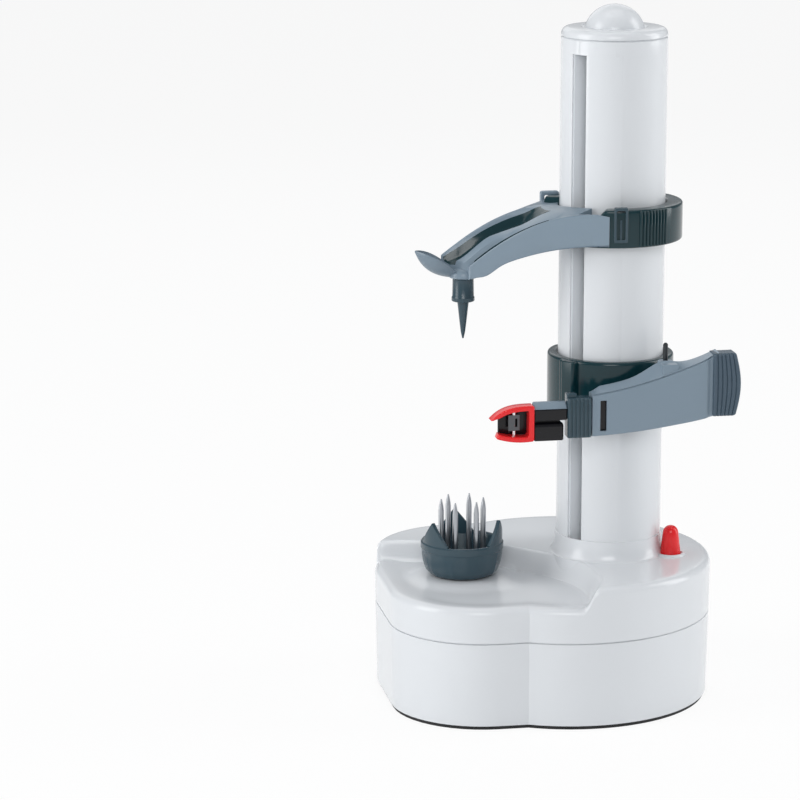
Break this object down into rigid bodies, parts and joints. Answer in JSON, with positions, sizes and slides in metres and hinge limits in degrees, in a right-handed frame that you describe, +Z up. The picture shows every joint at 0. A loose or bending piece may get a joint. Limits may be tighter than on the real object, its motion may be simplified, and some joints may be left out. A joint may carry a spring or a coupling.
{
  "type": "electric potato peeler",
  "caption": "Electric peeler: lobed white base, turning food cup, tall column with a sliding food holder and a sprung peeling arm, red start button.",
  "frame": {"origin": "middle of the whole outline in plan, on the surface the foot ring stands on", "axes": "+Z up, along the column; +X from the food cup to the column; -Y towards the user, on the side of the peeling arm"},
  "size_m": [0.144, 0.1225, 0.2912],
  "materials": {
    "shell_white": "glossy",
    "arm_slate": "satin gloss",
    "foot_rubber": "matte",
    "black_plastic": "satin",
    "red_plastic": "glossy",
    "steel": "brushed",
    "blade_steel": "polished",
    "bearing_brass": "satin",
    "gear_nylon": "matte",
    "cell_sleeve": "glossy"
  },
  "bodies": {
    "base": {"base_lower_shell": "shell_white", "base_upper_shell": "shell_white", "foot_ring": "foot_rubber", "battery_cells": "cell_sleeve", "battery_contacts": "steel", "gear_plate": "gear_nylon", "motor": "steel", "motor_bracket": "steel", "motor_screws": "steel", "gear_axles": "steel", "spindle_bearing": "bearing_brass", "lower_bush": "bearing_brass", "upper_bush": "bearing_brass", "column_front_shell": "shell_white", "column_rear_shell": "shell_white", "column_cap": "shell_white", "cap_dome": "shell_white", "button_bezel": "shell_white", "button_spring": "steel", "start_switch": "black_plastic", "stop_switch": "black_plastic", "power_jack": "black_plastic", "case_screws": "steel", "plate_screws": "steel", "column_screws": "steel"},
    "door": {"battery_door": "shell_white"},
    "spindle": {"spindle_shaft": "steel", "spindle_gear": "gear_nylon", "food_cup": "arm_slate", "cup_prongs": "steel"},
    "drive_wheel": {"drive_gear": "gear_nylon"},
    "reduction_wheel": {"reduction_gear": "gear_nylon"},
    "rotor": {"motor_pinion": "bearing_brass"},
    "screw": {"lead_screw": "steel", "screw_gear": "gear_nylon"},
    "carriage": {"carriage_clip": "arm_slate", "follower_nut": "gear_nylon", "hinge_pin": "steel", "arm_spring": "steel"},
    "arm": {"peeling_arm": "arm_slate", "grip_pad": "foot_rubber", "blade_clip": "arm_slate", "blade_stem": "black_plastic", "blade_guard": "red_plastic", "blade": "blade_steel", "blade_pins": "steel"},
    "holder": {"holder_collar": "arm_slate", "holder_arm": "arm_slate", "collar_latch": "arm_slate"},
    "spike": {"top_spike": "arm_slate", "spike_ring": "steel"},
    "button": {"start_button": "red_plastic"}
  },
  "joints": [
    {"name": "spindle_turn", "type": "hinge", "parent": "base", "child": "spindle", "pos_m": [-0.03801, 0, 0.045], "axis": [0, 0, 1], "continuous": true},
    {"name": "drive_turn", "type": "hinge", "parent": "base", "child": "drive_wheel", "pos_m": [-0.00251, 0, 0.04], "axis": [0, 0, 1], "continuous": true},
    {"name": "reduction_turn", "type": "hinge", "parent": "base", "child": "reduction_wheel", "pos_m": [0.00949, 0.02079, 0.03], "axis": [0, 0, 1], "continuous": true},
    {"name": "rotor_turn", "type": "hinge", "parent": "base", "child": "rotor", "pos_m": [0.01292, 0.04028, 0.032], "axis": [0, 0, 1], "continuous": true},
    {"name": "screw_turn", "type": "hinge", "parent": "base", "child": "screw", "pos_m": [0.02499, 0, 0.1], "axis": [0, 0, 1], "continuous": true},
    {"name": "carriage_slide", "type": "slide", "parent": "base", "child": "carriage", "axis": [0, 0, 1], "range_m": [-0.046, 0.042]},
    {"name": "arm_swing", "type": "hinge", "parent": "carriage", "child": "arm", "pos_m": [0.04139, -0.0285, 0.134], "axis": [0, 0, 1], "range_deg": [-11, 30], "stiffness_Nm_per_rad": 0.05, "deforming": ["arm_spring"]},
    {"name": "holder_slide", "type": "slide", "parent": "base", "child": "holder", "axis": [0, 0, 1], "range_m": [-0.04, 0.066]},
    {"name": "spike_turn", "type": "hinge", "parent": "holder", "child": "spike", "pos_m": [-0.03801, 0, 0.18], "axis": [0, 0, 1], "continuous": true},
    {"name": "button_press", "type": "slide", "parent": "base", "child": "button", "axis": [0, 0, -1], "range_m": [0, 0.003], "stiffness_N_per_m": 400, "deforming": ["button_spring"]},
    {"name": "door_slide", "type": "slide", "parent": "base", "child": "door", "axis": [1, 0, 0], "range_m": [0, 0.008]}
  ],
  "couplings": [
    {"joint": "drive_turn", "follows": "spindle_turn", "ratio": -2.087},
    {"joint": "reduction_turn", "follows": "spindle_turn", "ratio": 6.8571},
    {"joint": "rotor_turn", "follows": "spindle_turn", "ratio": -30.857},
    {"joint": "screw_turn", "follows": "spindle_turn", "ratio": 1.5}
  ]
}
